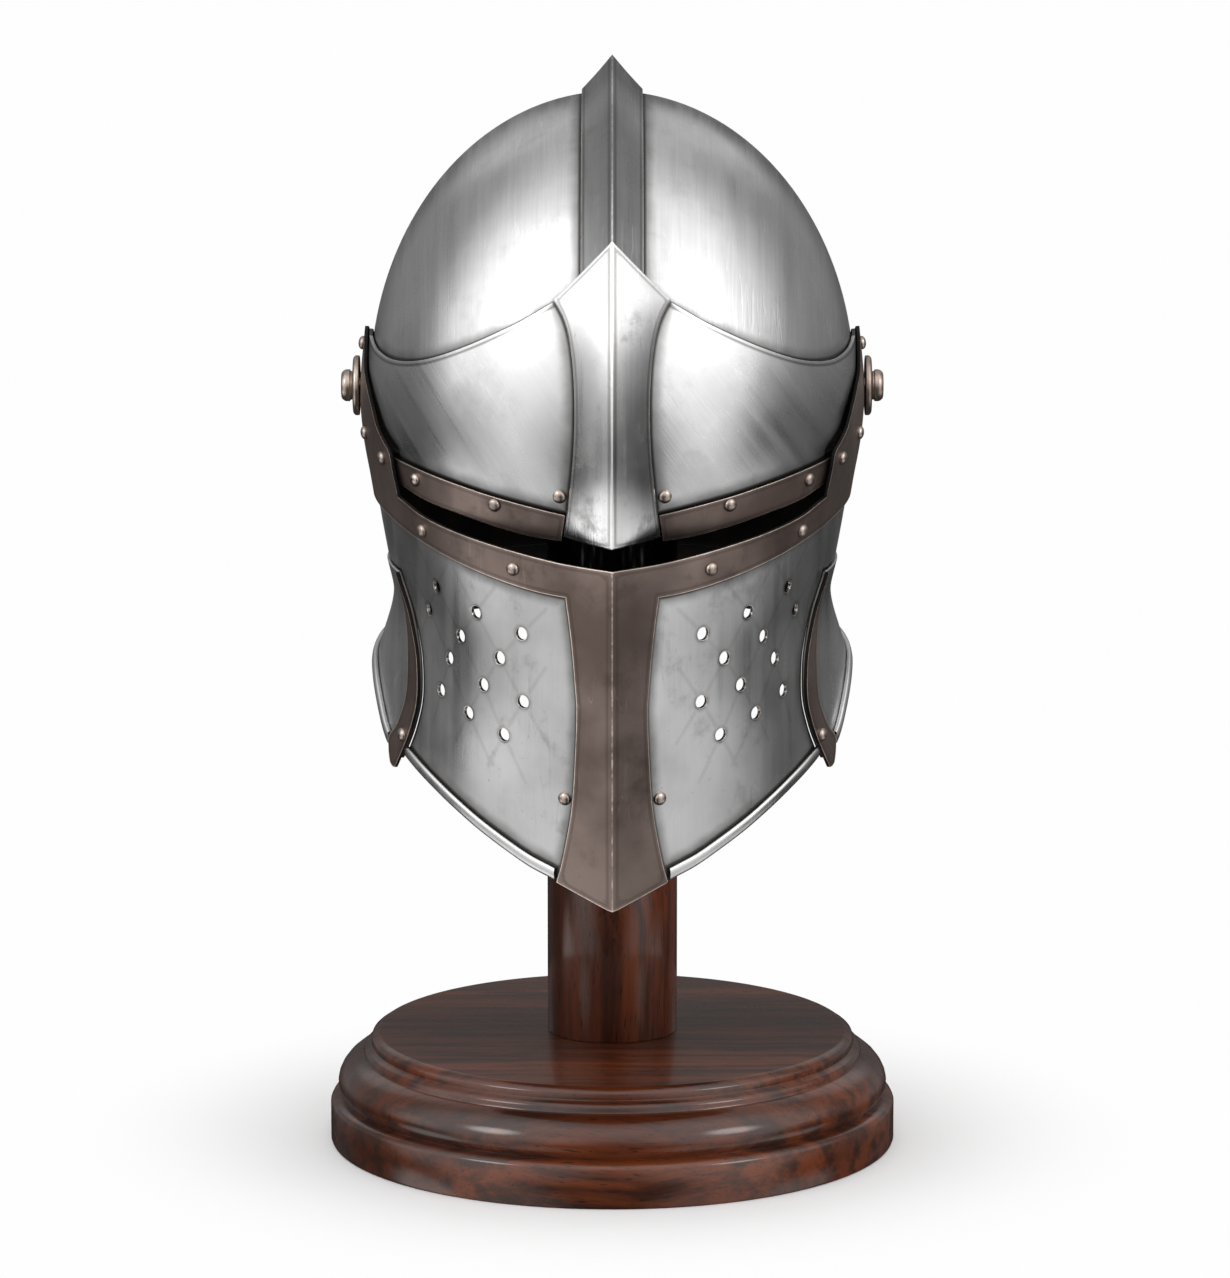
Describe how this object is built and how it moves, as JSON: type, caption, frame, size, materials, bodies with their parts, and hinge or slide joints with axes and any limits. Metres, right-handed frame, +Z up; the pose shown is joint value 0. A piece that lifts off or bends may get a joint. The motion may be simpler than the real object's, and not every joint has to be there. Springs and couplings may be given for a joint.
{
  "type": "close helmet on wooden stand",
  "caption": "Close helmet with a low comb, a pivoting visor with an eye slit, a pivoting bevor with breath holes and a flared neck guard, on a turned wooden stand.",
  "frame": {"origin": "middle of the underside of the stand's foot", "axes": "+Z up, the face looks along -Y, +X towards the right of someone looking at the face"},
  "size_m": [0.2612, 0.2883, 0.5035],
  "materials": {
    "steel": "brushed and worn, with fine scratches and darker patina at the edges",
    "band": "browned steel, satin, bright at worn edges",
    "fastener": "polished warm steel",
    "wood": "dark reddish brown, glossy varnish"
  },
  "bodies": {
    "root": {"stand_foot": "wood", "stand_post": "wood", "skull": "steel", "comb": "steel", "neck_guard": "steel", "neck_rim_left": "steel", "neck_rim_right": "steel", "guard_border_left": "band", "guard_border_right": "band", "pivot_disc_left": "fastener", "pivot_disc_right": "fastener", "pivot_bolt_left": "fastener", "pivot_bolt_right": "fastener", "tab_rivet_left": "fastener", "tab_rivet_right": "fastener"},
    "visor": {"nasal_plate": "steel", "brow_plate_left": "steel", "brow_plate_right": "steel", "brow_band_left": "band", "brow_band_right": "band", "brow_rivet_outer_left": "fastener", "brow_rivet_outer_right": "fastener", "brow_rivet_inner_left": "fastener", "brow_rivet_inner_right": "fastener", "nose_rivet_left": "fastener", "nose_rivet_right": "fastener"},
    "bevor": {"face_frame": "band", "cheek_plate_left": "steel", "cheek_plate_right": "steel", "chin_rim_left": "steel", "chin_rim_right": "steel", "arm_rivet_top_left": "fastener", "arm_rivet_top_right": "fastener", "arm_rivet_middle_left": "fastener", "arm_rivet_middle_right": "fastener", "arm_rivet_foot_left": "fastener", "arm_rivet_foot_right": "fastener", "band_rivet_outer_left": "fastener", "band_rivet_outer_right": "fastener", "band_rivet_inner_left": "fastener", "band_rivet_inner_right": "fastener", "cheek_rivet_left": "fastener", "cheek_rivet_right": "fastener"}
  },
  "joints": [
    {"name": "visor_pivot", "type": "hinge", "parent": "root", "child": "visor", "pos_m": [0, 0, 0.353], "axis": [-1, 0, 0], "range_deg": [0, 60]},
    {"name": "bevor_pivot", "type": "hinge", "parent": "root", "child": "bevor", "pos_m": [0, 0, 0.353], "axis": [-1, 0, 0], "range_deg": [0, 55]}
  ]
}
